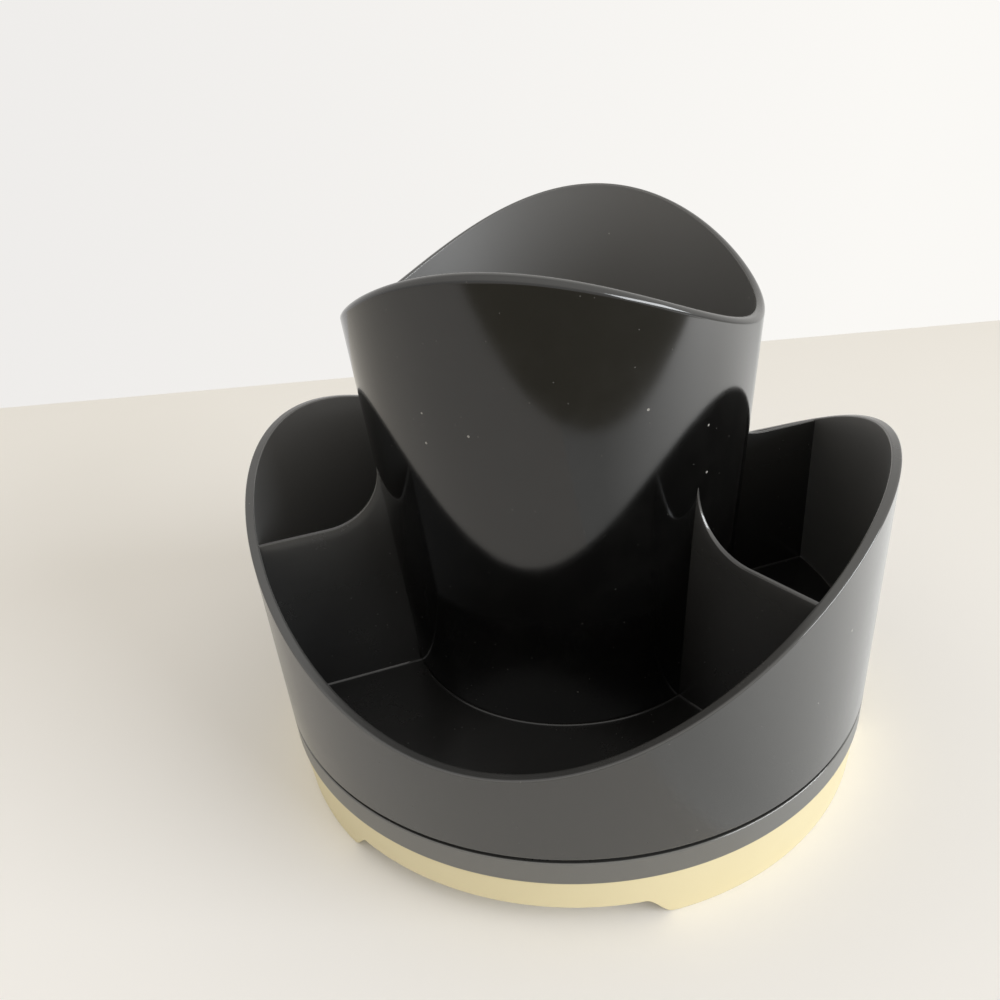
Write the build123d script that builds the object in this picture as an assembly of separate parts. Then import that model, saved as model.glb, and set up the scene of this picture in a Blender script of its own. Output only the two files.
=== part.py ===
from build123d import *
import math
import os

# Rotating pen holder: a drum with a saddle-wave rim, a tall centre cup and four dividers turn as one
# on a ball-bearing base. Millimetres, +Z up, front at -Y, origin on the table under the axis.

# Whole stack, from the table up
foot_height = 13.0
ring_height = 6.0
running_gap = 0.9
rim_mean = 58.3
rim_wave = 18.5
lip_mean = 114.4
lip_wave = 8.9

# Drum
drum_edge_radius = 72.0
drum_draft = 0.5
drum_wall = 2.0
drum_skirt = 0.6
drum_floor = 2.2
rim_round = 0.6

# Centre cup
cup_foot_share = 0.542
cup_lip_share = 0.629
cup_wall = 2.0
cup_floor = 2.2
cup_seat = 0.8
cup_corner = 2.5
lip_round = 0.6

# Dividers, set off from the front and back by the same angle
divider_angle = 54.3
divider_wall = 1.4
divider_sweep = 14.4
divider_flare = 2.2
divider_drop = 0.3
tongue_wall = 1.0
tongue_depth = 0.9
tongue_inset = 6.0

# Pivot
post_radius = 7.0
bush_wall = 1.6
bush_flange = 1.0
bush_flange_reach = 1.2
hub_wall = 3.0
hub_play = 0.2
washer_radius = 11.0
washer_thick = 1.2
screw_radius = 2.0
screw_depth = 10.0
screw_head_radius = 4.4
screw_head_height = 2.6
drive_radius = 1.5
drive_wall = 0.9
drive_depth = 1.3

# Ball bearing
ball_radius = 3.0
ball_count = 12
track_share = 0.75
track_depth = 0.4
cage_width = 8.0
cage_thick = 2.0

# Base
ring_draft = 0.8
deck_thick = 2.0
lip_wall = 1.7
lip_inset = 2.9
lip_gap = 0.8
spigot_wall = 2.0
spigot_depth = 1.6
foot_inset = 0.4
foot_draft = 3.5
foot_wall = 3.4
web_thick = 2.0
web_rise = 5.8
web_hole_radius = 14.0
arch_count = 3
arch_angle = 59.0
arch_turn = -90.0
arch_rise = 5.0
arch_ease = 5.0

# Base screws, in a ring of bosses under the deck
base_screw_count = 4
screw_ring_share = 0.56
base_screw_radius = 1.5
base_screw_depth = 7.0
base_head_radius = 3.2
base_head_height = 1.7
boss_radius = 4.2

# Clearances
seat_gap = 0.1
bore_gap = 0.06
track_gap = 0.1
pocket_gap = 0.25
hole_gap = 0.3
overrun = 2.0

# Levels and radii that follow
cup_foot_radius = drum_edge_radius * cup_foot_share
cup_lip_radius = drum_edge_radius * cup_lip_share
track_radius = drum_edge_radius * track_share
foot_top_radius = drum_edge_radius - foot_inset
base_screw_ring = drum_edge_radius * screw_ring_share
ring_top = foot_height + ring_height
drum_edge = ring_top + running_gap
floor_under = drum_edge + drum_skirt
floor_top = floor_under + drum_floor
cup_foot = floor_top - cup_seat
cup_inside = cup_foot + cup_floor
rim_high = rim_mean + rim_wave
lip_high = lip_mean + lip_wave
lip_low = lip_mean - lip_wave
drum_slope = math.tan(math.radians(drum_draft))
cup_slope = (cup_lip_radius - cup_foot_radius) / (lip_high - cup_foot)
divider_top = rim_mean - rim_wave * math.cos(2 * math.radians(divider_angle)) - divider_drop
ball_level = floor_under + track_depth - track_gap - ball_radius
deck_top = ball_level - ball_radius - track_gap + track_depth
deck_under = deck_top - deck_thick
hub_bore = post_radius + bore_gap + bush_wall
hub_radius = hub_bore + hub_wall
post_top = cup_inside + hub_play
web_top = web_rise + web_thick


def drum_radius(level):
    """Outer radius of the drum at a level."""
    return drum_edge_radius + drum_slope * (level - drum_edge)


def cup_radius(level):
    """Outer radius of the cup at a level."""
    return cup_foot_radius + cup_slope * (level - cup_foot)


def turned(*points):
    """Solid turned about Z from a closed half section given as radius and level."""
    return revolve(Plane.XZ * make_face(Polyline(*points, close=True)), Axis.Z)


def bar(radius, low, high):
    """Round bar on the Z axis between two levels."""
    return Pos(0, 0, low) * Cylinder(radius, high - low, align=(Align.CENTER, Align.CENTER, Align.MIN))


def around(shape, radius, count):
    """Copies of a shape spaced evenly on a ring about Z."""
    return [Rot(0, 0, 360 * i / count) * Pos(radius, 0, 0) * shape for i in range(count)]


def wave_edge(radius, mean, wave):
    """Closed curve on a cylinder that rises and falls twice in one turn, high on the X axis."""
    steps = 24
    points = []
    for i in range(steps):
        angle = 2 * math.pi * i / steps
        level = mean + wave * math.cos(2 * angle)
        points.append((radius * math.cos(angle), radius * math.sin(angle), level))
    return Edge.make_spline(points, periodic=True)


def above_wave(mean, wave, inner, outer, height):
    """Ring-shaped solid whose underside is the wave, level from its inner to its outer edge."""
    underside = Face.make_surface_from_curves(wave_edge(inner, mean, wave), wave_edge(outer, mean, wave))
    return Solid.extrude(underside, Vector(0, 0, height))


def wavy_edges(part, wave, least_length):
    """The long edges of a part that rise and fall with its wave."""
    return [e for e in part.edges() if e.bounding_box().size.Z > wave and e.length > least_length]


def cross_drive(level):
    """Cross-shaped recess, cut down from a level."""
    upward = (Align.CENTER, Align.CENTER, Align.MIN)
    arm = Box(2 * drive_radius, drive_wall, drive_depth + overrun, align=upward)
    return Pos(0, 0, level - drive_depth) * (arm + Rot(0, 0, 90) * arm)


def make_drum():
    """Tapered drum with a wave rim, its floor, the hub and the upper ball track."""
    tall = rim_high + overrun
    shell = turned(
        (drum_edge_radius, drum_edge),
        (drum_radius(tall), tall),
        (drum_radius(tall) - drum_wall, tall),
        (drum_radius(floor_top) - drum_wall, floor_top),
        (0, floor_top),
        (0, floor_under),
        (drum_radius(floor_under) - drum_wall, floor_under),
        (drum_edge_radius - drum_wall, drum_edge),
    )
    reach = drum_wall + overrun
    shell -= above_wave(rim_mean, rim_wave, drum_edge_radius - reach, drum_radius(tall) + reach, rim_high)
    shell = fillet(wavy_edges(shell, rim_wave, drum_edge_radius), rim_round)
    shell += bar(hub_radius, floor_under, cup_inside)
    shell -= turned(
        (hub_radius, floor_top - cup_seat),
        (cup_foot_radius + seat_gap, floor_top - cup_seat),
        (cup_foot_radius + seat_gap, floor_top + cup_seat),
        (hub_radius, floor_top + cup_seat),
    )
    shell -= bar(hub_bore, floor_under - overrun, cup_inside + overrun)
    shell -= ball_track()
    for angle in divider_turns():
        shell -= Rot(0, 0, angle) * divider_tongue(seat_gap)
    return shell


def ball_track():
    """Ring of round section that clears the balls all round."""
    return Pos(0, 0, ball_level) * Torus(track_radius, ball_radius + track_gap)


def make_cup():
    """Tall cup that stands in the drum's seat round the hub."""
    tall = lip_high + overrun
    inside = cup_radius(cup_inside) - cup_wall
    cup = turned(
        (hub_radius + seat_gap, cup_foot),
        (cup_foot_radius, cup_foot),
        (cup_radius(tall), tall),
        (cup_radius(tall) - cup_wall, tall),
        (inside, cup_inside),
        (hub_radius + seat_gap, cup_inside),
    )
    corner = [e for e in cup.edges().filter_by(GeomType.CIRCLE) if abs(e.radius - inside) < seat_gap]
    cup = fillet(corner, cup_corner)
    reach = cup_wall + overrun
    cup -= above_wave(lip_mean, -lip_wave, cup_foot_radius - reach, cup_radius(tall) + reach, lip_high)
    return fillet(wavy_edges(cup, lip_wave, cup_foot_radius), lip_round)


def divider_turns():
    """Turns of the four dividers about Z, counted from +X."""
    away = 90 - divider_angle
    return [away, 180 - away, 180 + away, -away]


def divider_plan(level):
    """Plan of a divider along +X at a level, flared where it meets the cup."""
    half = divider_wall / 2
    near = cup_radius(level)
    root = near - divider_flare
    far = drum_radius(level)
    outline = [
        Line((root, -half - divider_flare), (near, -half - divider_flare)),
        RadiusArc((near, -half - divider_flare), (near + divider_flare, -half), -divider_flare),
        Line((near + divider_flare, -half), (far, -half)),
        Line((far, -half), (far, half)),
        Line((far, half), (near + divider_flare, half)),
        RadiusArc((near + divider_flare, half), (near, half + divider_flare), -divider_flare),
        Line((near, half + divider_flare), (root, half + divider_flare)),
        Line((root, half + divider_flare), (root, -half - divider_flare)),
    ]
    return Pos(0, 0, level) * make_face(outline)


def divider_tongue(clearance):
    """Tongue under a divider, or with a clearance the slot that takes it."""
    start = cup_foot_radius + tongue_inset - clearance
    stop = drum_radius(floor_top) - drum_wall - tongue_inset + clearance
    depth = tongue_depth + clearance
    width = tongue_wall + 2 * clearance
    outward = (Align.MIN, Align.CENTER, Align.MIN)
    return Pos(start, 0, floor_top - depth) * Box(stop - start, width, depth, align=outward)


def make_divider(turn):
    """Thin radial wall, level from the rim inwards, then swept up against the cup."""
    crest = divider_top + divider_sweep
    wall = loft([divider_plan(floor_top), divider_plan(crest)], ruled=True)
    bend = cup_radius(crest)
    far = drum_radius(crest) + overrun
    side = make_face([
        Line((0, floor_top), (far, floor_top)),
        Line((far, floor_top), (far, divider_top)),
        Line((far, divider_top), (bend + divider_sweep, divider_top)),
        RadiusArc((bend + divider_sweep, divider_top), (bend, crest), divider_sweep),
        Line((bend, crest), (0, crest)),
        Line((0, crest), (0, floor_top)),
    ])
    wall &= extrude(Plane.XZ * side, divider_wall + 2 * divider_flare, both=True)
    wall -= turned(
        (0, cup_foot),
        (cup_foot_radius + seat_gap, cup_foot),
        (cup_radius(lip_low) + seat_gap, lip_low),
        (0, lip_low),
    )
    wall &= turned(
        (0, drum_edge),
        (drum_edge_radius - drum_wall - seat_gap, drum_edge),
        (drum_radius(rim_high) - drum_wall - seat_gap, rim_high),
        (0, rim_high),
    )
    wall += divider_tongue(0)
    return Rot(0, 0, turn) * wall


def make_bush():
    """Flanged sleeve pressed into the hub, running on the post."""
    inner = post_radius + bore_gap
    return turned(
        (inner, floor_under - bush_flange),
        (hub_bore + bush_flange_reach, floor_under - bush_flange),
        (hub_bore + bush_flange_reach, floor_under),
        (hub_bore, floor_under),
        (hub_bore, cup_inside),
        (inner, cup_inside),
    )


def make_balls():
    """The bearing's balls, on the track."""
    return Compound(children=around(Pos(0, 0, ball_level) * Sphere(ball_radius), track_radius, ball_count))


def make_cage():
    """Flat ring with a pocket for each ball."""
    low = ball_level - cage_thick / 2
    high = ball_level + cage_thick / 2
    cage = bar(track_radius + cage_width / 2, low, high) - bar(track_radius - cage_width / 2, low, high)
    for pocket in around(bar(ball_radius + pocket_gap, low, high), track_radius, ball_count):
        cage -= pocket
    return cage


def make_housing():
    """Black upper half of the base: ring, deck with the lower ball track, inner lip, post and bosses."""
    ring_low_radius = drum_edge_radius - ring_height * math.tan(math.radians(ring_draft))
    spigot_radius = foot_top_radius - foot_wall - seat_gap
    spigot_low = foot_height - spigot_depth
    lip_radius = drum_edge_radius - drum_wall - lip_inset + lip_wall
    lip_top = floor_under - lip_gap
    housing = turned(
        (0, deck_under),
        (spigot_radius - spigot_wall, deck_under),
        (spigot_radius - spigot_wall, spigot_low),
        (spigot_radius, spigot_low),
        (spigot_radius, foot_height),
        (ring_low_radius, foot_height),
        (drum_edge_radius, ring_top),
        (lip_radius, ring_top),
        (lip_radius, lip_top),
        (lip_radius - lip_wall, lip_top),
        (lip_radius - lip_wall, deck_top),
        (0, deck_top),
    )
    housing += bar(post_radius, deck_under, post_top)
    housing -= ball_track()
    for boss in around(bar(boss_radius, web_top, deck_top), base_screw_ring, base_screw_count):
        housing += boss
    housing -= bar(screw_radius, post_top - screw_depth, post_top + overrun)
    pilot = bar(base_screw_radius, web_rise - overrun, web_rise + base_screw_depth)
    for hole in around(pilot, base_screw_ring, base_screw_count):
        housing -= hole
    return housing


def arch_cut():
    """Low gap under the base between two feet, along +X, with eased ends."""
    half = foot_top_radius * math.sin(math.radians(arch_angle / 2))
    ease = arch_ease
    profile = make_face([
        Line((-half, -overrun), (half, -overrun)),
        Line((half, -overrun), (half, 0)),
        Spline((half, 0), (half - ease, arch_rise), tangents=[(-1, 0), (-1, 0)]),
        Line((half - ease, arch_rise), (ease - half, arch_rise)),
        Spline((ease - half, arch_rise), (-half, 0), tangents=[(-1, 0), (-1, 0)]),
        Line((-half, 0), (-half, -overrun)),
    ])
    return extrude(Plane.YZ * profile, foot_top_radius + overrun)


def make_foot_plate():
    """Pale lower half of the base: a tapered wall on three wide feet, with a web for the screws."""
    bottom = foot_top_radius - foot_height * math.tan(math.radians(foot_draft))
    inner = foot_top_radius - foot_wall
    plate = turned(
        (web_hole_radius, web_rise),
        (bottom - foot_wall, web_rise),
        (bottom - foot_wall, 0),
        (bottom, 0),
        (foot_top_radius, foot_height),
        (inner, foot_height),
        (inner, web_top),
        (web_hole_radius, web_top),
    )
    for i in range(arch_count):
        plate -= Rot(0, 0, arch_turn + 360 * i / arch_count) * arch_cut()
    hole = bar(base_screw_radius + hole_gap, web_rise - overrun, web_top + overrun)
    for cut in around(hole, base_screw_ring, base_screw_count):
        plate -= cut
    return plate


def make_base_screws():
    """Screws up through the web into the deck's bosses."""
    screw = bar(base_screw_radius, web_rise, web_rise + base_screw_depth)
    screw += bar(base_head_radius, web_rise - base_head_height, web_rise)
    screw -= Pos(0, 0, web_rise - base_head_height) * Rot(180, 0, 0) * cross_drive(0)
    return Compound(children=around(screw, base_screw_ring, base_screw_count))


def make_pivot_screw():
    """Screw down the post's axis that holds the washer on the post."""
    seat = post_top + washer_thick
    screw = bar(screw_radius, post_top - screw_depth, seat)
    head = bar(screw_head_radius, seat, seat + screw_head_height)
    head = fillet(head.edges().group_by(Axis.Z)[-1], screw_head_height / 2)
    return screw + head - cross_drive(seat + screw_head_height)


def make_washer():
    """Broad washer on the post, over the hub and bush, that keeps the drum from lifting."""
    return bar(washer_radius, post_top, post_top + washer_thick) - bar(
        screw_radius + hole_gap, post_top - overrun, post_top + washer_thick + overrun
    )


os.makedirs("parts", exist_ok=True)
names = ["divider_back_right", "divider_back_left", "divider_front_left", "divider_front_right"]
nodes = {
    "outer_drum": make_drum(),
    "centre_cup": make_cup(),
    "hub_bush": make_bush(),
    "bearing_balls": make_balls(),
    "ball_cage": make_cage(),
    "base_housing": make_housing(),
    "foot_plate": make_foot_plate(),
    "base_screws": make_base_screws(),
    "pivot_screw": make_pivot_screw(),
    "pivot_washer": make_washer(),
}
for name, turn in zip(names, divider_turns()):
    nodes[name] = make_divider(turn)
for name, shape in nodes.items():
    export_step(shape, "parts/" + name + ".step")
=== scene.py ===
import math
from collections import namedtuple

import bmesh
import bpy
from bpy.props import FloatProperty, FloatVectorProperty, IntProperty, PointerProperty
from mathutils import Matrix, Vector


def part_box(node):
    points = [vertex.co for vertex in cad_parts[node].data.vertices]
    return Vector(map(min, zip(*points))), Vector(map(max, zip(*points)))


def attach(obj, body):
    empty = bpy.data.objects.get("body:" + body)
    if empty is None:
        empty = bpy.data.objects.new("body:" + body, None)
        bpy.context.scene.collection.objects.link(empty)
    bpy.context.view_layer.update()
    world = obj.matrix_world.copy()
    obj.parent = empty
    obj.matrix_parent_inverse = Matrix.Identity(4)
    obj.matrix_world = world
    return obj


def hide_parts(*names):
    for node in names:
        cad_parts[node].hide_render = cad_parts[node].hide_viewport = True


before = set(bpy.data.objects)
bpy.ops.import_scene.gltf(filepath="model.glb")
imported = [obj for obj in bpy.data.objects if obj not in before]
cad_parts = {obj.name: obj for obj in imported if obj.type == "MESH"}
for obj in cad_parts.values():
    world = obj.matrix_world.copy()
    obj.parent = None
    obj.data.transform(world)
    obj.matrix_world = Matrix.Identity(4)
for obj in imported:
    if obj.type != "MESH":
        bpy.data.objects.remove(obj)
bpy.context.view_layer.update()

bl_info = {
    "name": "Rotating pen holder",
    "version": (1, 0, 0),
    "blender": (4, 5, 0),
    "location": "View3D > Sidebar > Pen Holder",
    "description": "Dresses the packed pen holder: wave-rimmed drum, cup, dividers, base ring and foot",
    "category": "Object",
}

MM = 0.001
DRUM_LOW, DRUM_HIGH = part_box("outer_drum")
CUP_LOW, CUP_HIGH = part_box("centre_cup")
_, DIVIDER_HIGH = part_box("divider_front_right")
RING_LOW, RING_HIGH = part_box("base_housing")
_, FOOT_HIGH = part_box("foot_plate")
BUSH_LOW, BUSH_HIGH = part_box("hub_bush")
BALL_LOW, BALL_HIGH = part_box("bearing_balls")
WASHER_LOW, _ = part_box("pivot_washer")
DIVIDER_SIDES = {
    "divider_back_right": (1, 1),
    "divider_back_left": (-1, 1),
    "divider_front_left": (-1, -1),
    "divider_front_right": (1, -1),
}

# How finely the meshes are cut
SHARP_ANGLE = math.radians(40)
DRUM_PIECES = 10
CUP_PIECES = 16
RING_PIECES = 4
FOOT_PIECES = 6
FLOOR_PIECES = 6
PLATE_ROWS = (0.0, 0.004, 0.009, 0.015, 0.022, 0.05, 0.2, 0.4, 0.6, 0.8, 0.94, 1.0)
TRACK_ROWS = (-1.0, -0.6, 0.0, 0.6, 1.0)
BALL_SEGMENTS = 32
BALL_RINGS = 16

# Black styrene: ranges of the masks, and what each mask adds to colour and roughness
OUTWARD_RANGE = (0.3, 0.7)
INWARD_RANGE = (-0.5, -0.9)
EDGE_START = (0.2, 0.4)
EDGE_END = (0.84, 0.70)
SMEAR_RANGE = (0.42, 0.72)
SMEAR_ROUGHNESS = 0.04
FILM_RANGE = (0.45, 0.85)
FILM_SHARE = 0.006
FILM_ROUGHNESS = 0.03
# Painted highlight: share of lighter grey laid on rounded edges and coves
EDGE_HIGHLIGHT_SHARE = 0.14
GRIT_SHARE = 0.12
LINT_SHARE = 0.5
DUST_ROUGHNESS = 0.3
PEEL_HEIGHT = 0.4 * MM

# Cream plastic, steel and nylon
CLOUD_RANGE = (0.35, 0.75)
CLOUD_SHARE = 0.3
CLOUD_ROUGHNESS = 0.08
SCUFF_RANGE = (0.62, 0.80)
SCUFF_SHARE = 0.25
SCUFF_ROUGHNESS = 0.1
SPECK_SHARE = 0.5
CREAM_GRAIN = 0.12 * MM
CREAM_IOR = 1.46
STAIN_SHARE = 0.6
STEEL_ROUGHNESS = 0.22
STEEL_SPREAD = 0.2
NYLON_ROUGHNESS = 0.42
NYLON_SPREAD = 0.12
NYLON_IOR = 1.53
FINE_GRAIN = 0.1 * MM

# Stage, with painted shade on the floor's far part and two sheets of painted reflection
MOTTLE_SHARE = 0.2
# Painted shade: share of darkening towards the floor's far edge
FAR_SHADE_SHARE = 0.8
SHADE_HEIGHT = 0.5 * MM
SHADE_ROUGHNESS = 0.9
GLOW_CORE = 0.3
WALL_RANGE = (-0.9, -0.05)
SKY_RANGE = (-0.8, 0.9)
TOP_RANGE = (0.0, 0.9)
CLIP_START = 10 * MM


def length(name, description, millimetres):
    """A size property, given in millimetres and kept in metres."""
    return FloatProperty(
        name=name, description=description, default=millimetres * MM, unit="LENGTH", precision=5)


def angle(name, description, degrees):
    """An angle property, given in degrees."""
    return FloatProperty(name=name, description=description, default=math.radians(degrees), unit="ROTATION")


def share(name, description, default):
    """A property between nought and one."""
    return FloatProperty(name=name, description=description, default=default, min=0, max=1, subtype="FACTOR")


def colour(name, description, default):
    """A colour property."""
    return FloatVectorProperty(
        name=name, description=description, default=default, size=3, min=0, max=1, subtype="COLOR")


def power(name, description, watts):
    """The power of a lamp."""
    return FloatProperty(name=name, description=description, default=watts, min=0, unit="POWER")


def number(name, description, default, low=0):
    """A plain number property."""
    return FloatProperty(name=name, description=description, default=default, min=low)


def count(name, description, default, low):
    """A whole number property."""
    return IntProperty(name=name, description=description, default=default, min=low)


def place(name, description, millimetres):
    """A place, given in millimetres and kept in metres."""
    return FloatVectorProperty(
        name=name, description=description, default=[v * MM for v in millimetres], size=3, unit="LENGTH")


class PenHolderSizes(bpy.types.PropertyGroup):
    """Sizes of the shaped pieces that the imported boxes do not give."""

    drum_wall: length("Drum wall", "Thickness of the drum's wall", 2.0)
    drum_floor: length("Drum floor", "Height of the floor's top above the drum's lower edge", 2.8)
    rim_wave: length("Rim wave", "Rise of the rim above and fall below its mean", 18.5)
    rim_round: length("Rim rounding", "Radius on both edges of the rim", 0.4)
    edge_round: length("Edge rounding", "Radius on the other outer edges", 0.35)
    floor_cove: length("Floor cove", "Radius between the floor and what stands on it", 0.5)
    hub_wall: length("Hub wall", "Thickness of the hub's wall round the bush", 3.0)
    bush_flange: length("Bush flange", "Thickness of the bush's flange under the floor", 1.0)
    flange_reach: length("Flange reach", "Reach of the flange beyond the hub's bore", 1.2)
    cup_wall: length("Cup wall", "Thickness of the cup's wall", 2.0)
    cup_floor: length("Cup floor", "Thickness of the cup's floor", 2.2)
    cup_foot: length("Cup foot radius", "Outer radius of the cup where it stands", 39.024)
    cup_cove: length("Cup cove", "Radius between the cup's wall and its floor inside", 2.5)
    lip_wave: length("Lip wave", "Rise of the cup's lip above and fall below its mean", 8.9)
    lip_round: length("Lip rounding", "Radius on the outer edge of the lip", 1.35)
    lip_inner: length("Inner lip rounding", "Radius on the inner edge of the lip", 0.4)
    divider_wall: length("Divider wall", "Thickness of a divider", 1.1)
    divider_round: length("Divider rounding", "Radius on a divider's top edges", 0.18)
    divider_drop: length("Divider drop", "Fall from the rim to a divider's top", 0.3)
    crest_thin: share("Crest thinning", "Share of the thickness that a divider loses up to its crest", 0.6)
    divider_angle: angle("Divider angle", "Angle of a divider from the front or back", 54.3)
    seat_gap: length("Seat gap", "Clearance between pieces that sit in each other", 0.1)
    running_gap: length("Running gap", "Gap between the drum's lower edge and the base ring", 0.9)
    track_gap: length("Track gap", "Clearance round the balls", 0.1)
    track_depth: length("Track depth", "Depth of the ball tracks", 0.4)
    ball_count: count("Balls", "Number of balls in the bearing", 12, 3)
    ring_draft: length("Ring draft", "Amount by which the base ring narrows downwards", 0.084)
    deck_thick: length("Deck", "Thickness of the deck under the balls", 2.0)
    guard_inset: length("Guard inset", "Distance of the deck's guard from the drum's wall inside", 1.2)
    guard_wall: length("Guard wall", "Thickness of the deck's upright guard", 1.7)
    guard_gap: length("Guard gap", "Gap between the guard and the drum's floor", 0.8)
    post_radius: length("Post radius", "Radius of the post", 7.0)
    post_bore: length("Post bore", "Radius of the screw hole in the post", 2.0)
    spigot_wall: length("Spigot wall", "Thickness of the spigot that enters the foot", 2.0)
    spigot_depth: length("Spigot depth", "Depth of the spigot in the foot", 1.6)
    foot_taper: length("Foot taper", "Amount by which the foot narrows downwards", 0.795)
    foot_wall: length("Foot wall", "Thickness of the foot's outer wall", 3.4)
    foot_round: length("Foot rounding", "Radius on the foot's upper edge", 0.6)
    web_low: length("Web height", "Underside of the foot's web above the table", 5.8)
    web_thick: length("Web thickness", "Thickness of the foot's web", 2.0)
    web_hole: length("Web hole", "Radius of the hole in the foot's web", 14.0)
    arch_count: count("Arches", "Number of gaps between the feet", 3, 1)
    arch_turn: angle("Arch turn", "Direction of the first gap about Z", -90.0)
    arch_angle: angle("Arch angle", "Angle that a gap takes up at the foot's top", 59.0)
    arch_rise: length("Arch rise", "Height of the gap between two feet", 5.0)
    arch_ease: length("Arch ease", "Length over which the gap rises at its ends", 5.0)
    steps: count("Steps", "Steps in one turn of the round pieces", 288, 48)
    foot_steps: count("Foot steps", "Steps in one turn of the foot", 864, 48)


class PenHolderFinishes(bpy.types.PropertyGroup):
    """Colours and surface values of the finishes."""

    cup_black: colour("Cup black", "Polished black of the cup's outside", (0.002, 0.002, 0.002))
    drum_black: colour("Drum black", "Slightly greyed black of the drum's outside", (0.022, 0.022, 0.021))
    # Painted shade: the black runs from this floor black low down to the rim black at the top
    shaded_floor_black: colour("Floor black", "Black of the floor and the dividers' feet", (0.007, 0.007, 0.007))
    rim_black: colour("Rim black", "Greyed black of rim, lip and dividers' tops", (0.052, 0.052, 0.051))
    # Painted light: a lighter grey on the inner walls stands in for light inside the compartments
    lit_inner_black: colour("Inner black", "Scuffed, dusty black of the walls inside", (0.12, 0.12, 0.119))
    # Painted highlight: a lighter grey on the rounded edges
    edge_highlight_black: colour("Edge black", "Rubbed black of the rounded edges", (0.20, 0.20, 0.195))
    ring_black: colour("Ring black", "Greyed black of the base ring", (0.100, 0.099, 0.092))
    dust: colour("Dust", "Dust and lint on the black styrene", (0.46, 0.45, 0.42))
    cream: colour("Cream", "Cream plastic of the foot", (0.67, 0.595, 0.38))
    cream_aged: colour("Aged cream", "Darker, handled cream", (0.59, 0.51, 0.30))
    steel: colour("Steel", "Zinc-plated steel", (0.62, 0.61, 0.59))
    steel_dull: colour("Dull steel", "Tarnished zinc", (0.43, 0.43, 0.41))
    nylon: colour("Nylon", "Natural nylon", (0.78, 0.77, 0.71))
    nylon_warm: colour("Aged nylon", "Yellowed nylon", (0.74, 0.71, 0.60))
    cup_gloss: share("Cup gloss", "Roughness of the cup's outside", 0.09)
    drum_gloss: share("Drum gloss", "Roughness of the drum's outside", 0.17)
    floor_gloss: share("Floor gloss", "Roughness of the floor, rim, lip and dividers", 0.24)
    edge_gloss: share("Edge gloss", "Roughness of the rounded edges", 0.07)
    inner_gloss: share("Inner gloss", "Roughness of the walls inside", 0.5)
    ring_gloss: share("Ring gloss", "Roughness of the base ring", 0.32)
    cream_gloss: share("Cream gloss", "Roughness of the cream plastic", 0.46)
    cup_sheen: number("Cup sheen", "Refraction index of the cup's skin", 1.6, 1)
    drum_sheen: number("Drum sheen", "Refraction index of the drum's skin", 1.75, 1)


class PenHolderStage(bpy.types.PropertyGroup):
    """Floor, light and camera."""

    floor: colour("Floor", "Colour of the floor in front", (0.925, 0.922, 0.93))
    # Partly painted shade: the worn floor colour also darkens the floor's far part
    floor_worn_and_shaded: colour("Worn floor", "Darker clouds in the floor and its far part", (0.79, 0.775, 0.745))
    wall_dim: colour("Dim wall", "Backdrop on the side away from the light", (0.85, 0.835, 0.82))
    wall_bright: colour("Bright wall", "Backdrop on the light's side", (0.96, 0.945, 0.915))
    sky_dim: colour("Dim sky", "Light from the side away from the window", (0.46, 0.432, 0.38))
    sky_bright: colour("Bright sky", "Light from the window's side", (1.0, 0.966, 0.90))
    sky_top: colour("Top sky", "Light from straight above", (0.79, 0.745, 0.67))
    sky_turn: angle("Sky turn", "Direction of the brightest sky about Z", -50.0)
    sky_strength: number("Sky strength", "Light from all round", 1.05)
    window: colour("Window", "Colour of the key light", (0.94, 0.97, 1.0))
    window_power: power("Window power", "Power of the key light", 288.0)
    window_place: place("Window place", "Where the key light stands", (5640.0, -795.0, 1854.0))
    window_width: length("Window width", "Width of the key light", 4500.0)
    window_height: length("Window height", "Height of the key light", 2100.0)
    # Painted light reflection: the glow values set a glowing sheet that only the gloss sees; it is no lamp
    glow: colour("Glow", "Colour of the lit desk", (1.0, 0.99, 0.96))
    glow_edge: colour("Glow edge", "Lit desk where it passes into the floor", (0.33, 0.33, 0.32))
    glow_strength: number("Glow strength", "Brightness of the lit desk", 2.5)
    glow_place: place("Glow place", "Middle of the lit desk, seen only in the gloss", (440.0, 40.0, 0.3))
    glow_radius: length("Glow radius", "Reach of the lit desk", 380.0)
    # Painted dark reflection: the shade values set a dark sheet that only the gloss sees
    shade: colour("Shade", "Dark desk beyond the floor, seen only in the gloss", (0.36, 0.34, 0.27))
    shade_dark: colour("Dark shade", "Darker clouds in the dark desk", (0.25, 0.235, 0.19))
    shade_distance: length("Shade distance", "Distance of the dark desk from the axis", 199.0)
    shade_turn: angle("Shade turn", "Direction of the dark desk about Z", -57.5)
    shade_size: length("Shade size", "Side of the dark desk", 900.0)
    floor_size: length("Floor size", "Reach of the floor to the sides and the front", 3000.0)
    floor_back: length("Floor back", "Distance from the axis to the floor's far edge", 268.0)
    floor_turn: angle("Floor turn", "Turn of the floor's far edge about Z", 19.06)
    camera_place: place("Camera place", "Where the camera stands", (47.11, -173.03, 155.37))
    camera_turn: angle("Camera turn", "Direction of view about Z, from +Y towards -X", 19.892)
    camera_dip: angle("Camera dip", "Angle of view below the horizon", 28.2525)
    camera_roll: angle("Camera roll", "Turn of the picture about the line of sight", 5.306)
    focal_share: number("Focal length", "In widths of the picture", 0.84571)


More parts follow.
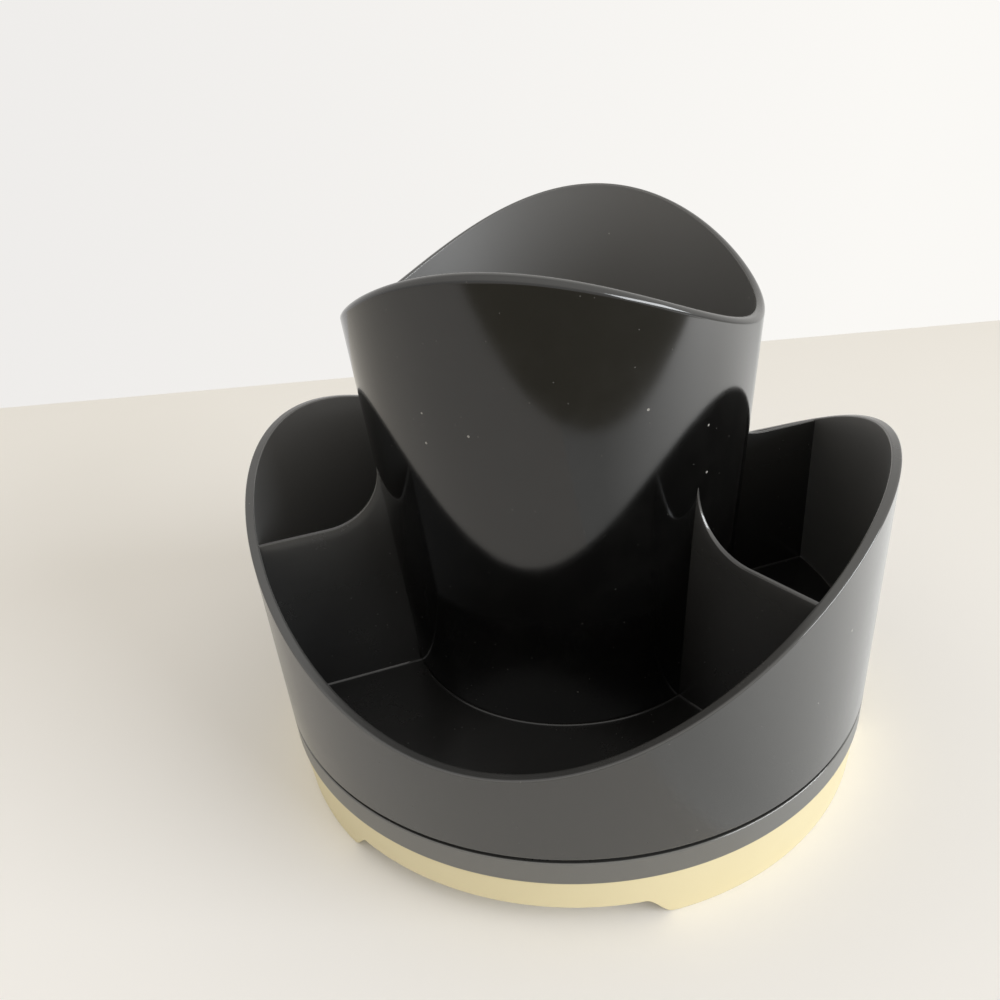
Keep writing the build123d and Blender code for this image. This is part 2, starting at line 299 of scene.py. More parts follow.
class Socket:
    """A shader socket that takes part in Python sums; each sum adds a Math node."""

    def __init__(self, nodes, socket):
        self.nodes = nodes
        self.socket = socket

    def math(self, operation, first, second):
        """One Math node."""
        return self.nodes.node("ShaderNodeMath", {"operation": operation}, {0: first, 1: second})

    def __add__(self, other):
        return self.math("ADD", self, other)

    def __rsub__(self, other):
        return self.math("SUBTRACT", other, self)

    def __mul__(self, other):
        return self.math("MULTIPLY", self, other)

    def __gt__(self, other):
        return self.math("GREATER_THAN", self, other)

    def __lt__(self, other):
        return self.math("LESS_THAN", self, other)

    __radd__ = __add__
    __rmul__ = __mul__


class Nodes:
    """Adds nodes to one node tree."""

    def __init__(self, tree):
        self.tree = tree

    def node(self, kind, settings=None, inputs=None, output=0):
        """Adds a node of any kind, its settings first, then its socket values or links."""
        made = self.tree.nodes.new(kind)
        for key, value in (settings or {}).items():
            setattr(made, key, value)
        for key, value in (inputs or {}).items():
            if isinstance(value, Socket):
                self.tree.links.new(value.socket, made.inputs[key])
            else:
                made.inputs[key].default_value = value
        return Socket(self, made.outputs[output])

    def position(self):
        """Position on the piece, in metres."""
        return self.node("ShaderNodeTexCoord", output="Object")

    def noise(self, scale, detail, roughness):
        """Cloudy noise, about one half on average."""
        inputs = {"Vector": self.position(), "Scale": scale, "Detail": detail, "Roughness": roughness}
        return self.node("ShaderNodeTexNoise", inputs=inputs)

    def ramp(self, value, low, high):
        """Nought below low, one above high, straight between."""
        return self.node("ShaderNodeMapRange", inputs={"Value": value, "From Min": low, "From Max": high})

    def blend(self, mask, first, second):
        """Colour between two colours."""
        inputs = {0: mask, 6: opaque(first), 7: opaque(second)}
        return self.node("ShaderNodeMix", {"data_type": "RGBA"}, inputs, 2)

    def specks(self, scale, size, rarity):
        """Small round specks: one in a fleck and nought elsewhere."""
        inputs = {"Vector": self.position(), "Scale": scale}
        near = self.node("ShaderNodeTexVoronoi", inputs=inputs) < size
        pick = self.node("ShaderNodeTexVoronoi", inputs=inputs, output="Color")
        chance = self.node("ShaderNodeSeparateColor", inputs={"Color": pick})
        return near * (chance > rarity)

    def vectors(self, operation, first, second, output=0):
        """One Vector Math node."""
        return self.node("ShaderNodeVectorMath", {"operation": operation}, {0: first, 1: second}, output)

    def facing(self):
        """One on faces turned away from the axis, minus one on those turned towards it."""
        flat = self.vectors("MULTIPLY", self.position(), (1, 1, 0))
        spoke = self.node("ShaderNodeVectorMath", {"operation": "NORMALIZE"}, {0: flat})
        normal = self.node("ShaderNodeTexCoord", output="Normal")
        return self.vectors("DOT_PRODUCT", spoke, normal, "Value")

    def edges(self):
        """One on rounded upper edges and hollow roundings, nought on flats and walls."""
        normal = self.node("ShaderNodeTexCoord", output="Normal")
        tilt = self.node("ShaderNodeSeparateXYZ", inputs={"Vector": normal}, output="Z")
        return self.ramp(tilt, *EDGE_START) * self.ramp(tilt, *EDGE_END)

    def bump(self, height, strength, distance):
        """Surface normal bent by a height."""
        inputs = {"Height": height, "Strength": strength, "Distance": distance}
        return self.node("ShaderNodeBump", inputs=inputs, output="Normal")


class Finish(Nodes):
    """One procedural material on a Principled shader."""

    def __init__(self, name):
        self.material = bpy.data.materials.new(name)
        self.material.use_nodes = True
        super().__init__(self.material.node_tree)

    def surface(self, links, values):
        """Feeds the shader's sockets: varying ones from links, plain ones as values."""
        shader = self.tree.nodes["Principled BSDF"]
        for name, source in links.items():
            self.tree.links.new(source.socket, shader.inputs[name])
        for name, value in values.items():
            shader.inputs[name].default_value = value
        return self.material


def opaque(value):
    """A colour with full alpha, or a socket as it is."""
    if isinstance(value, Socket):
        return value
    return (*value, 1.0)


def black_styrene(name, look, low, high, outer, outer_gloss, sheen):
    """Glossy black moulded styrene, duller inside, with faint smears and a little dust; painted shade darkens
    it towards the floor and greys it upwards, painted light greys its inner walls, and painted highlights
    lighten its rounded edges.
    """
    finish = Finish(name)
    facing = finish.facing()
    height = finish.node("ShaderNodeSeparateXYZ", inputs={"Vector": finish.position()}, output="Z")
    upper = finish.ramp(height, low.z, high.z)
    outward = finish.ramp(facing, *OUTWARD_RANGE)
    inward = finish.ramp(facing, *INWARD_RANGE)
    edges = finish.edges()
    smears = finish.ramp(finish.noise(scale=38.0, detail=5.0, roughness=0.6), *SMEAR_RANGE)
    film = finish.ramp(finish.noise(scale=160.0, detail=6.0, roughness=0.7), *FILM_RANGE)
    lint = finish.specks(scale=420.0, size=0.12, rarity=0.988)
    grit = finish.specks(scale=1400.0, size=0.16, rarity=0.98)
    peel = finish.noise(scale=90.0, detail=2.0, roughness=0.4)
    # Painted shade: darker towards the floor, greyer towards the top
    level = finish.blend(upper, look.shaded_floor_black, look.rim_black)
    # Painted light: the inner walls get a lighter grey than the outside
    plain = finish.blend(inward, finish.blend(outward, level, outer), look.lit_inner_black)
    # Painted highlight: rounded edges and coves are lightened
    edge_highlighted = finish.blend(edges * EDGE_HIGHLIGHT_SHARE, plain, look.edge_highlight_black)
    filmed = finish.blend(film * FILM_SHARE, edge_highlighted, look.dust)
    dusty = finish.blend(grit * GRIT_SHARE + lint * LINT_SHARE, filmed, look.dust)
    gloss = look.floor_gloss + outward * (outer_gloss - look.floor_gloss)
    gloss = gloss + inward * (look.inner_gloss - look.floor_gloss)
    gloss = gloss * (1.0 - edges) + look.edge_gloss * edges
    gloss = gloss + smears * SMEAR_ROUGHNESS + film * FILM_ROUGHNESS
    links = {
        "Base Color": dusty,
        "Roughness": gloss + (grit + lint) * DUST_ROUGHNESS,
        "Normal": finish.bump(peel, strength=0.05, distance=PEEL_HEIGHT),
    }
    return finish.surface(links, {"IOR": sheen})


def cream_plastic(look):
    """Satin cream plastic, a little yellowed and scuffed."""
    finish = Finish("cream_plastic")
    cloud = finish.ramp(finish.noise(scale=22.0, detail=4.0, roughness=0.6), *CLOUD_RANGE)
    scuffs = finish.ramp(finish.noise(scale=240.0, detail=6.0, roughness=0.75), *SCUFF_RANGE)
    grain = finish.noise(scale=1600.0, detail=3.0, roughness=0.6)
    specks = finish.specks(scale=500.0, size=0.10, rarity=0.98)
    aged = finish.blend(cloud * CLOUD_SHARE, look.cream, look.cream_aged)
    worn = finish.blend(scuffs * SCUFF_SHARE + specks * SPECK_SHARE, aged, look.cream_aged)
    links = {
        "Base Color": worn,
        "Roughness": look.cream_gloss + cloud * CLOUD_ROUGHNESS + scuffs * SCUFF_ROUGHNESS,
        "Normal": finish.bump(grain, strength=0.1, distance=CREAM_GRAIN),
    }
    return finish.surface(links, {"IOR": CREAM_IOR})


def plated_steel(look):
    """Zinc-plated steel, clouded, with a fine grain."""
    finish = Finish("plated_steel")
    stain = finish.noise(scale=300.0, detail=4.0, roughness=0.6)
    grain = finish.noise(scale=2600.0, detail=2.0, roughness=0.5)
    links = {
        "Base Color": finish.blend(stain * STAIN_SHARE, look.steel, look.steel_dull),
        "Roughness": STEEL_ROUGHNESS + grain * STEEL_SPREAD,
        "Normal": finish.bump(grain, strength=0.1, distance=FINE_GRAIN),
    }
    return finish.surface(links, {"Metallic": 1.0})


def natural_nylon(look):
    """Natural white nylon, yellowed in clouds."""
    finish = Finish("natural_nylon")
    cloud = finish.noise(scale=120.0, detail=4.0, roughness=0.6)
    grain = finish.noise(scale=1800.0, detail=2.0, roughness=0.5)
    links = {
        "Base Color": finish.blend(cloud, look.nylon, look.nylon_warm),
        "Roughness": NYLON_ROUGHNESS + cloud * NYLON_SPREAD,
        "Normal": finish.bump(grain, strength=0.1, distance=FINE_GRAIN),
    }
    return finish.surface(links, {"IOR": NYLON_IOR})


Corner = namedtuple("Corner", "radius level rounding pieces", defaults=(0.0, 1))


def rounded(before, corner, after):
    """Points of one corner of an outline: itself, or an arc with a support point on each side."""
    here = Vector((corner.radius, corner.level))
    if corner.rounding == 0:
        return [here]
    arc_steps = 6
    back = Vector((before.radius, before.level)) - here
    ahead = Vector((after.radius, after.level)) - here
    half = back.angle(ahead) / 2
    reach = corner.rounding / math.tan(half)
    room = min(back.length - before.rounding, ahead.length - after.rounding) - reach
    support = min(corner.rounding / 2, room / 3)
    back.normalize()
    ahead.normalize()
    centre = here + (back + ahead).normalized() * (corner.rounding / math.sin(half))
    spoke = here + back * reach - centre
    sweep = spoke.angle_signed(here + ahead * reach - centre)
    arc = [centre + Matrix.Rotation(-sweep * k / arc_steps, 2) @ spoke for k in range(arc_steps + 1)]
    return [arc[0] + back * support, *arc, arc[-1] + ahead * support]


def outline(corners):
    """Closed outline of radius and level, its corners rounded and long stretches cut into pieces."""
    runs = []
    for i, corner in enumerate(corners):
        runs.append(rounded(corners[i - 1], corner, corners[(i + 1) % len(corners)]))
    points = []
    for i, corner in enumerate(corners):
        last = runs[i][-1]
        follower = runs[(i + 1) % len(runs)][0]
        points += runs[i]
        points += [last.lerp(follower, k / corner.pieces) for k in range(1, corner.pieces)]
    return points


def turned_mesh(name, section, steps):
    """Closed mesh from a section of radius and level that may change with the angle about Z."""
    vertices = []
    for i in range(steps):
        turn = 2 * math.pi * i / steps
        ring = section(turn)
        vertices += [(radius * math.cos(turn), radius * math.sin(turn), level) for radius, level in ring]
    row = len(vertices) // steps
    faces = []
    for i in range(steps):
        here = i * row
        there = (i + 1) % steps * row
        faces += strip(here, there, row)
    return finished_mesh(name, vertices, faces)


def strip(here, there, row):
    """Faces between two closed rows of vertices."""
    return [(here + j, there + j, there + (j + 1) % row, here + (j + 1) % row) for j in range(row)]


def finished_mesh(name, vertices, faces):
    """Object whose faces point outwards, smooth but for its hard edges."""
    mesh = bpy.data.meshes.new(name)
    mesh.from_pydata(vertices, [], faces)
    shell = bmesh.new()
    shell.from_mesh(mesh)
    bmesh.ops.recalc_face_normals(shell, faces=shell.faces)
    shell.to_mesh(mesh)
    shell.free()
    mesh.shade_smooth()
    mesh.set_sharp_from_angle(angle=SHARP_ANGLE)
    return linked(name, mesh)


def linked(name, data):
    """A new object in the scene."""
    made = bpy.data.objects.new(name, data)
    bpy.context.scene.collection.objects.link(made)
    return made


def dress(piece, body, node, material):
    """Puts a piece in a CAD node's place, with its material."""
    piece.data.materials.append(material)
    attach(piece, body)
    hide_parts(node)


def settings():
    """The three groups of properties."""
    scene = bpy.context.scene
    return scene.pen_holder_sizes, scene.pen_holder_finishes, scene.pen_holder_stage


def rim_level(sizes, turn):
    """Level of the drum's rim at an angle about Z."""
    return DRUM_HIGH.z - sizes.rim_wave + sizes.rim_wave * math.cos(2 * turn)


def lip_level(sizes, turn):
    """Level of the cup's lip at an angle about Z."""
    return CUP_HIGH.z - sizes.lip_wave - sizes.lip_wave * math.cos(2 * turn)


def drum_radius(level):
    """Outer radius of the drum at a level."""
    slope = (DRUM_HIGH.x - RING_HIGH.x) / (DRUM_HIGH.z - DRUM_LOW.z)
    return RING_HIGH.x + slope * (level - DRUM_LOW.z)


def cup_radius(sizes, level):
    """Outer radius of the cup at a level."""
    slope = (CUP_HIGH.y - sizes.cup_foot) / (CUP_HIGH.z - CUP_LOW.z)
    return sizes.cup_foot + slope * (level - CUP_LOW.z)


def floor_level(sizes):
    """Top of the drum's floor."""
    return DRUM_LOW.z + sizes.drum_floor


def floor_under(sizes):
    """Underside of the drum's floor."""
    return BUSH_LOW.z + sizes.bush_flange


def hub_bore(sizes):
    """Radius of the hub's bore."""
    return BUSH_HIGH.x - sizes.flange_reach


def ball_radius():
    """Radius of a bearing ball."""
    return (BALL_HIGH.z - BALL_LOW.z) / 2


def ball_track(sizes, level):
    """Corners of the shallow groove for the balls in a flat at a level, from the inner to the outer side."""
    ball = ball_radius()
    middle = BALL_LOW.z + ball
    groove = ball + sizes.track_gap
    half = math.sqrt(groove * groove - (level - middle) ** 2)
    side = math.copysign(1, level - middle)
    corners = []
    for across_share in TRACK_ROWS:
        across = half * across_share
        rise = math.sqrt(groove * groove - across * across)
        corners.append(Corner(BALL_HIGH.x - ball + across, middle + side * rise))
    return corners


class PENHOLDER_OT_drum(bpy.types.Operator):
    """Build the drum with its wave rim, floor and hub"""

    bl_idname = "penholder.drum"
    bl_label = "Drum"

    def section(self, sizes, turn):
        """Section of the drum at an angle about Z."""
        rim = rim_level(sizes, turn)
        floor = floor_level(sizes)
        under = floor_under(sizes)
        wall = sizes.drum_wall
        bore = hub_bore(sizes)
        hub = bore + sizes.hub_wall
        seat = sizes.cup_foot + sizes.seat_gap
        edge = drum_radius(DRUM_LOW.z)
        return outline([
            Corner(edge, DRUM_LOW.z, sizes.edge_round, DRUM_PIECES),
            Corner(drum_radius(rim), rim, sizes.rim_round),
            Corner(drum_radius(rim) - wall, rim, sizes.rim_round, DRUM_PIECES),
            Corner(drum_radius(floor) - wall, floor, sizes.floor_cove, FLOOR_PIECES),
            Corner(seat, floor),
            Corner(seat, CUP_LOW.z),
            Corner(hub, CUP_LOW.z),
            Corner(hub, BUSH_HIGH.z),
            Corner(bore, BUSH_HIGH.z),
            Corner(bore, under),
            *ball_track(sizes, under),
            Corner(drum_radius(under) - wall, under),
            Corner(edge - wall, DRUM_LOW.z, sizes.edge_round),
        ])

    def execute(self, context):
        sizes, look, _ = settings()
        piece = turned_mesh("drum_shell", lambda turn: self.section(sizes, turn), sizes.steps)
        material = black_styrene(
            "drum_styrene", look, DRUM_LOW, DRUM_HIGH, look.drum_black, look.drum_gloss, look.drum_sheen)
        dress(piece, "carousel", "outer_drum", material)
        return {"FINISHED"}


class PENHOLDER_OT_cup(bpy.types.Operator):
    """Build the tall centre cup"""

    bl_idname = "penholder.cup"
    bl_label = "Centre cup"

    def foot_cove(self, sizes):
        """Corners of the hollow rounding between the drum's floor and the cup's wall."""
        cove = sizes.floor_cove
        floor = floor_level(sizes)
        arc_steps = 5
        corners = []
        for k in range(arc_steps + 1):
            turn = math.pi / 2 * k / arc_steps
            level = floor + cove * (1 - math.cos(turn))
            corners.append(Corner(cup_radius(sizes, level) + cove * (1 - math.sin(turn)), level))
        return corners

    def section(self, sizes, turn):
        """Section of the cup at an angle about Z."""
        lip = lip_level(sizes, turn)
        inside = CUP_LOW.z + sizes.cup_floor
        hub = hub_bore(sizes) + sizes.hub_wall + sizes.seat_gap
        wall = sizes.cup_wall
        above_cove = floor_level(sizes) + 2 * sizes.floor_cove
        return outline([
            Corner(sizes.cup_foot, CUP_LOW.z),
            Corner(sizes.cup_foot, floor_level(sizes)),
            *self.foot_cove(sizes),
            Corner(cup_radius(sizes, above_cove), above_cove, 0.0, CUP_PIECES),
            Corner(cup_radius(sizes, lip), lip, sizes.lip_round),
            Corner(cup_radius(sizes, lip) - wall, lip, sizes.lip_inner, CUP_PIECES),
            Corner(cup_radius(sizes, inside) - wall, inside, sizes.cup_cove, FLOOR_PIECES),
            Corner(hub, inside),
            Corner(hub, CUP_LOW.z),
        ])

    def execute(self, context):
        sizes, look, _ = settings()
        piece = turned_mesh("cup_shell", lambda turn: self.section(sizes, turn), sizes.steps)
        material = black_styrene(
            "cup_styrene", look, CUP_LOW, CUP_HIGH, look.cup_black, look.cup_gloss, look.cup_sheen)
        dress(piece, "carousel", "centre_cup", material)
        return {"FINISHED"}


class PENHOLDER_OT_dividers(bpy.types.Operator):
    """Build the four dividers that sweep up against the cup"""

    bl_idname = "penholder.dividers"
    bl_label = "Dividers"

    def level_top(self, sizes):
        """Level of the top edge where it leaves the drum."""
        return rim_level(sizes, math.pi / 2 - sizes.divider_angle) - sizes.divider_drop

    def top_path(self, sizes):
        """Points of the top edge from the drum to the cup, each with the edge's normal."""
        top = self.level_top(sizes)
        crest = DIVIDER_HIGH.z
        sweep = crest - top
        start = cup_radius(sizes, crest) + sweep
        far = drum_radius(top) - sizes.drum_wall
        level_steps = 9
        sweep_steps = 18
        path = []
        for k in range(level_steps):
            path.append((Vector((far + (start - far) * k / level_steps, top)), Vector((0, 1))))
        for k in range(sweep_steps + 1):
            turn = math.pi / 2 * k / sweep_steps
            normal = Vector((math.sin(turn), math.cos(turn)))
            path.append((Vector((start, crest)) - normal * sweep, normal))
        return path

    def half_width(self, sizes, level):
        """Half the thickness at a level, wider towards the floor and thinner up the sweep."""
        top = self.level_top(sizes)
        rise = max(0.0, level - top) / (DIVIDER_HIGH.z - top)
        half = sizes.divider_wall / 2 * (1 - sizes.crest_thin * rise)
        cove = sizes.floor_cove
        left = min(cove, max(0.0, cove - level + floor_level(sizes)))
        return half + cove - math.sqrt(cove * cove - left * left)

    def section(self, sizes, point, normal):
        """Section across the plate: radius, offset and level, up one side, over the top and down."""
        floor = floor_level(sizes)
        near = cup_radius(sizes, point.y)
        reach_share = (point.x - near) / (drum_radius(point.y) - sizes.drum_wall - near)
        low = cup_radius(sizes, floor)
        foot = Vector((low + reach_share * (drum_radius(floor) - sizes.drum_wall - low), floor))
        shoulder = point - normal * sizes.divider_round
        side = []
        for height_share in PLATE_ROWS:
            spot = foot.lerp(shoulder, height_share)
            side.append((spot.x, self.half_width(sizes, spot.y), spot.y))
        width = side[-1][1]
        arc_steps = 4
        for k in range(1, arc_steps + 1):
            turn = math.pi / 2 * k / arc_steps
            spot = shoulder + normal * sizes.divider_round * math.sin(turn)
            side.append((spot.x, width - sizes.divider_round * (1 - math.cos(turn)), spot.y))
        other = [(radius, -offset, level) for radius, offset, level in reversed(side)]
        return side + other

    def execute(self, context):
        sizes, look, _ = settings()
        rows = [self.section(sizes, point, normal) for point, normal in self.top_path(sizes)]
        width = len(rows[0])
        last = (len(rows) - 1) * width
        faces = []
        for here in range(0, last, width):
            faces += strip(here, here + width, width)
        faces += [tuple(range(width)), tuple(range(last, last + width))]
        # Painted shade: the height ramp reaches up to the cup's top, so the plates darken towards the floor
        material = black_styrene(
            "divider_styrene", look, DRUM_LOW, CUP_HIGH, look.rim_black, look.floor_gloss, look.cup_sheen)
        for node, (across, along) in DIVIDER_SIDES.items():
            turn = math.atan2(along * math.cos(sizes.divider_angle), across * math.sin(sizes.divider_angle))
            spin = Matrix.Rotation(turn, 3, "Z")
            vertices = [spin @ Vector(spot) for row in rows for spot in row]
            piece = finished_mesh(node + "_plate", vertices, faces)
            dress(piece, "carousel", node, material)
        return {"FINISHED"}


class PENHOLDER_OT_ring(bpy.types.Operator):
    """Build the black base ring with its deck, guard and post"""

    bl_idname = "penholder.ring"
    bl_label = "Base ring"

    def section(self, sizes):
        """Section of the base ring, deck and post."""
        low = FOOT_HIGH.z
        top = DRUM_LOW.z - sizes.running_gap
        outer = RING_HIGH.x
        guard = drum_radius(DRUM_LOW.z) - sizes.drum_wall - sizes.guard_inset
        guard_top = floor_under(sizes) - sizes.guard_gap
        deck = BALL_LOW.z - sizes.track_gap + sizes.track_depth
        under = deck - sizes.deck_thick
        spigot = FOOT_HIGH.x - sizes.foot_wall - sizes.seat_gap
        spigot_low = low - sizes.spigot_depth
        return outline([
            Corner(outer - sizes.ring_draft, low, sizes.edge_round, RING_PIECES),
            Corner(outer, top, sizes.edge_round),
            Corner(guard, top),
            Corner(guard, guard_top, sizes.edge_round),
            Corner(guard - sizes.guard_wall, guard_top, sizes.edge_round),
            Corner(guard - sizes.guard_wall, deck),
            *reversed(ball_track(sizes, deck)),
            Corner(sizes.post_radius, deck),
            Corner(sizes.post_radius, WASHER_LOW.z),
            Corner(sizes.post_bore, WASHER_LOW.z),
            Corner(sizes.post_bore, under),
            Corner(spigot - sizes.spigot_wall, under),
            Corner(spigot - sizes.spigot_wall, spigot_low),
            Corner(spigot, spigot_low),
            Corner(spigot, low),
        ])

    def execute(self, context):
        sizes, look, _ = settings()
        points = self.section(sizes)
        piece = turned_mesh("base_ring", lambda turn: points, sizes.steps)
        material = black_styrene(
            "ring_styrene", look, RING_LOW, RING_HIGH, look.ring_black, look.ring_gloss, look.drum_sheen)
        dress(piece, "base", "base_housing", material)
        return {"FINISHED"}


class PENHOLDER_OT_foot(bpy.types.Operator):
    """Build the cream foot with the low gaps between its feet"""

    bl_idname = "penholder.foot"
    bl_label = "Foot"

    def gap(self, sizes, radius, turn):
        """Height of the lower edge above the table at a radius and an angle about Z."""
        spacing = 2 * math.pi / sizes.arch_count
        off = (turn - sizes.arch_turn + spacing / 2) % spacing - spacing / 2
        half = FOOT_HIGH.x * math.sin(sizes.arch_angle / 2)
        part = (half - radius * abs(math.sin(off))) / sizes.arch_ease
        part = min(1.0, max(0.0, part))
        return sizes.arch_rise * part * part * (3 - 2 * part)

    def section(self, sizes, turn):
        """Section of the foot at an angle about Z."""
        top = FOOT_HIGH.z
        outer = FOOT_HIGH.x
        bottom = outer - sizes.foot_taper
        inner = bottom - sizes.foot_wall
        low = self.gap(sizes, bottom, turn)
        inner_low = self.gap(sizes, inner, turn)
        web_top = sizes.web_low + sizes.web_thick
        return outline([
            Corner(bottom + sizes.foot_taper * low / top, low, sizes.edge_round, FOOT_PIECES),
            Corner(outer, top, sizes.foot_round),
            Corner(outer - sizes.foot_wall, top),
            Corner(outer - sizes.foot_wall, web_top),
            Corner(sizes.web_hole, web_top),
            Corner(sizes.web_hole, sizes.web_low, sizes.edge_round),
            Corner(inner, sizes.web_low),
            Corner(inner, inner_low, sizes.edge_round),
        ])

    def execute(self, context):
        sizes, look, _ = settings()
        piece = turned_mesh("foot_shell", lambda turn: self.section(sizes, turn), sizes.foot_steps)
        dress(piece, "base", "foot_plate", cream_plastic(look))
        return {"FINISHED"}


class PENHOLDER_OT_hardware(bpy.types.Operator):
    """Build the balls and give the screws, washer, cage and bush their finishes"""

    bl_idname = "penholder.hardware"
    bl_label = "Hardware"

    def balls(self, sizes):
        """Round balls side by side on their track."""
        ball = ball_radius()
        first = Matrix.Translation((BALL_HIGH.x - ball, 0, BALL_LOW.z + ball))
        shell = bmesh.new()
        for k in range(sizes.ball_count):
            spot = Matrix.Rotation(2 * math.pi * k / sizes.ball_count, 4, "Z") @ first
            bmesh.ops.create_uvsphere(
                shell, u_segments=BALL_SEGMENTS, v_segments=BALL_RINGS, radius=ball, matrix=spot)
        mesh = bpy.data.meshes.new("steel_balls")
        shell.to_mesh(mesh)
        shell.free()
        mesh.shade_smooth()
        return linked("steel_balls", mesh)

    def execute(self, context):
        sizes, look, _ = settings()
        steel = plated_steel(look)
        nylon = natural_nylon(look)
        dress(self.balls(sizes), "bearing", "bearing_balls", steel)
        finishes = {
            "pivot_screw": steel,
            "pivot_washer": steel,
            "base_screws": steel,
            "ball_cage": nylon,
            "hub_bush": nylon,
        }
        for node, material in finishes.items():
            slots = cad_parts[node].data.materials
            slots.clear()
            slots.append(material)
        return {"FINISHED"}


class PENHOLDER_OT_stage(bpy.types.Operator):
    """Lay the floor and set the light and the camera"""

    bl_idname = "penholder.stage"
    bl_label = "Stage"

    def sheet(self, name, low, high, turn, height, material):
        """Flat level sheet between two corners, turned about Z."""
        spin = Matrix.Rotation(turn, 3, "Z")
        flat = ((low.x, low.y), (high.x, low.y), (high.x, high.y), (low.x, high.y))
        mesh = bpy.data.meshes.new(name)
        mesh.from_pydata([spin @ Vector((*corner, height)) for corner in flat], [], [(0, 1, 2, 3)])
        mesh.materials.append(material)
        made = linked(name, mesh)
        return made

    def floor(self, stage):
        """Pale floor whose far edge lies behind the holder, with random clouds and painted shade that darkens
        its far part.
        """
        finish = Finish("floor_paint")
        mottle = finish.noise(scale=6.0, detail=4.0, roughness=0.6)
        away = Matrix.Rotation(stage.floor_turn, 3, "Z") @ Vector((0, 1, 0))
        far = finish.vectors("DOT_PRODUCT", finish.position(), away, "Value")
        # Painted shade: darker towards the far edge, beside random clouds
        worn = mottle * MOTTLE_SHARE + finish.ramp(far, -stage.floor_back / 2, stage.floor_back) * FAR_SHADE_SHARE
        paint = finish.blend(worn, stage.floor, stage.floor_worn_and_shaded)
        material = finish.surface({"Base Color": paint}, {"Specular IOR Level": 0.0})
        low = Vector((-stage.floor_size, -stage.floor_size))
        high = Vector((stage.floor_size, stage.floor_back))
        self.sheet("floor", low, high, stage.floor_turn, 0.0, material)

    def shade(self, stage):
        """Painted dark reflection: a dark sheet in front of the floor, which only the gloss sees."""
        finish = Finish("painted_dark_reflection")
        mottle = finish.noise(scale=4.0, detail=3.0, roughness=0.5)
        paint = finish.blend(mottle, stage.shade, stage.shade_dark)
        material = finish.surface({"Base Color": paint}, {"Roughness": SHADE_ROUGHNESS})
        low = Vector((stage.shade_distance, -stage.shade_size / 2))
        high = Vector((stage.shade_distance + stage.shade_size, stage.shade_size / 2))
        self.gloss_only(self.sheet("shade", low, high, stage.shade_turn, SHADE_HEIGHT, material))

    def glow(self, stage):
        """Painted light reflection: a glowing sheet beside the floor, which only the gloss sees; it is no
        lamp.
        """
        finish = Finish("painted_glow_reflection")
        middle = Vector(stage.glow_place)
        distance = finish.vectors("DISTANCE", finish.position(), middle, "Value")
        edge = finish.ramp(distance, stage.glow_radius * GLOW_CORE, stage.glow_radius)
        lit = finish.blend(edge, stage.glow, stage.glow_edge)
        plain = {"Emission Strength": stage.glow_strength, "Base Color": opaque((0.0, 0.0, 0.0))}
        material = finish.surface({"Emission Color": lit}, plain)
        reach = Vector((stage.glow_radius, stage.glow_radius))
        self.gloss_only(self.sheet("glow", middle.xy - reach, middle.xy + reach, 0.0, middle.z, material))

    def gloss_only(self, sheet):
        """Hides a sheet from everything but reflections."""
        sheet.visible_camera = False
        sheet.visible_diffuse = False
        sheet.visible_shadow = False

    def world(self, stage):
        """Warm light, brighter on one side; the camera and the gloss see a pale backdrop."""
        world = bpy.data.worlds.new("studio")
        world.use_nodes = True
        nodes = Nodes(world.node_tree)
        ahead = nodes.node("ShaderNodeTexCoord", output="Generated")
        window_side = Vector((stage.window_place[0], stage.window_place[1], 0)).normalized()
        across = nodes.vectors("DOT_PRODUCT", ahead, window_side, "Value")
        wall = nodes.blend(nodes.ramp(across, *WALL_RANGE), stage.wall_dim, stage.wall_bright)
        bright_side = (math.cos(stage.sky_turn), math.sin(stage.sky_turn), 0)
        towards = nodes.vectors("DOT_PRODUCT", ahead, bright_side, "Value")
        around = nodes.blend(nodes.ramp(towards, *SKY_RANGE), stage.sky_dim, stage.sky_bright)
        upward = nodes.vectors("DOT_PRODUCT", ahead, (0, 0, 1), "Value")
        glow = nodes.blend(nodes.ramp(upward, *TOP_RANGE), around, stage.sky_top)
        seen = nodes.node("ShaderNodeBackground", inputs={"Color": wall})
        sky = nodes.node("ShaderNodeBackground", inputs={"Color": glow, "Strength": stage.sky_strength})
        rays = [nodes.node("ShaderNodeLightPath", output=kind)
                for kind in ("Is Camera Ray", "Is Glossy Ray", "Is Transmission Ray")]
        mix = nodes.node("ShaderNodeMixShader", inputs={0: rays[0] + rays[1] + rays[2], 1: sky, 2: seen})
        nodes.tree.links.new(mix.socket, nodes.tree.nodes["World Output"].inputs["Surface"])
        bpy.context.scene.world = world

    def window(self, stage):
        """Wide light beside the holder, aimed at its middle."""
        data = bpy.data.lights.new("window", "AREA")
        data.shape = "RECTANGLE"
        data.size = stage.window_width
        data.size_y = stage.window_height
        data.energy = stage.window_power
        data.color = stage.window
        made = linked("window", data)
        spot = Vector(stage.window_place)
        made.location = spot
        middle = Vector((0, 0, CUP_HIGH.z / 2))
        made.rotation_euler = (middle - spot).to_track_quat("-Z", "Y").to_euler()

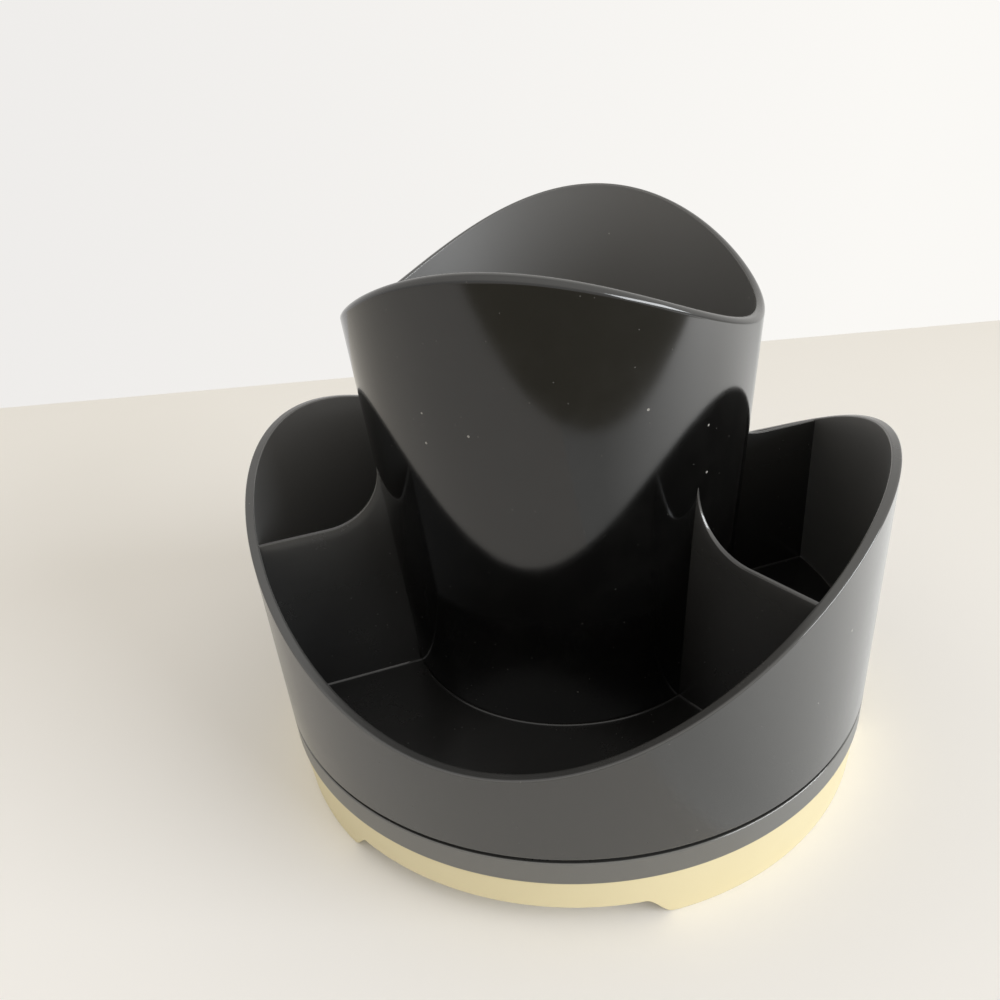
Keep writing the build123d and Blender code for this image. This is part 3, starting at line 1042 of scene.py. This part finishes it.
    def camera(self, stage):
        """Camera at the photograph's place and angle."""
        data = bpy.data.cameras.new("camera")
        data.lens = stage.focal_share * data.sensor_width
        data.clip_start = CLIP_START
        made = linked("camera", data)
        turn = Matrix.Rotation(stage.camera_turn, 4, "Z")
        upright = Matrix.Rotation(math.pi / 2 - stage.camera_dip, 4, "X")
        roll = Matrix.Rotation(-stage.camera_roll, 4, "Z")
        made.matrix_world = Matrix.Translation(stage.camera_place) @ turn @ upright @ roll
        bpy.context.scene.camera = made

    def execute(self, context):
        _, _, stage = settings()
        self.floor(stage)
        self.shade(stage)
        self.glow(stage)
        self.world(stage)
        self.window(stage)
        self.camera(stage)
        context.scene.view_settings.view_transform = "Standard"
        return {"FINISHED"}


class PENHOLDER_PT_panel(bpy.types.Panel):
    """Lists the sizes, the finishes, the stage and the pieces"""

    bl_idname = "PENHOLDER_PT_panel"
    bl_label = "Pen holder"
    bl_space_type = "VIEW_3D"
    bl_region_type = "UI"
    bl_category = "Pen Holder"

    def draw(self, context):
        for group in settings():
            for name in group.__annotations__:
                self.layout.prop(group, name)
        for operator in OPERATORS:
            self.layout.operator(operator.bl_idname)


GROUPS = {
    "pen_holder_sizes": PenHolderSizes,
    "pen_holder_finishes": PenHolderFinishes,
    "pen_holder_stage": PenHolderStage,
}
OPERATORS = (
    PENHOLDER_OT_drum,
    PENHOLDER_OT_cup,
    PENHOLDER_OT_dividers,
    PENHOLDER_OT_ring,
    PENHOLDER_OT_foot,
    PENHOLDER_OT_hardware,
    PENHOLDER_OT_stage,
)


def register():
    """Registers the property groups, the operators and the panel."""
    for name, group in GROUPS.items():
        bpy.utils.register_class(group)
        setattr(bpy.types.Scene, name, PointerProperty(type=group))
    for kind in (*OPERATORS, PENHOLDER_PT_panel):
        bpy.utils.register_class(kind)


def unregister():
    """Takes everything out again."""
    for kind in (PENHOLDER_PT_panel, *reversed(OPERATORS)):
        bpy.utils.unregister_class(kind)
    for name, group in GROUPS.items():
        delattr(bpy.types.Scene, name)
        bpy.utils.unregister_class(group)


def main():
    """Builds the whole holder."""
    register()
    bpy.ops.penholder.drum()
    bpy.ops.penholder.cup()
    bpy.ops.penholder.dividers()
    bpy.ops.penholder.ring()
    bpy.ops.penholder.foot()
    bpy.ops.penholder.hardware()
    bpy.ops.penholder.stage()


if __name__ == "__main__":
    main()
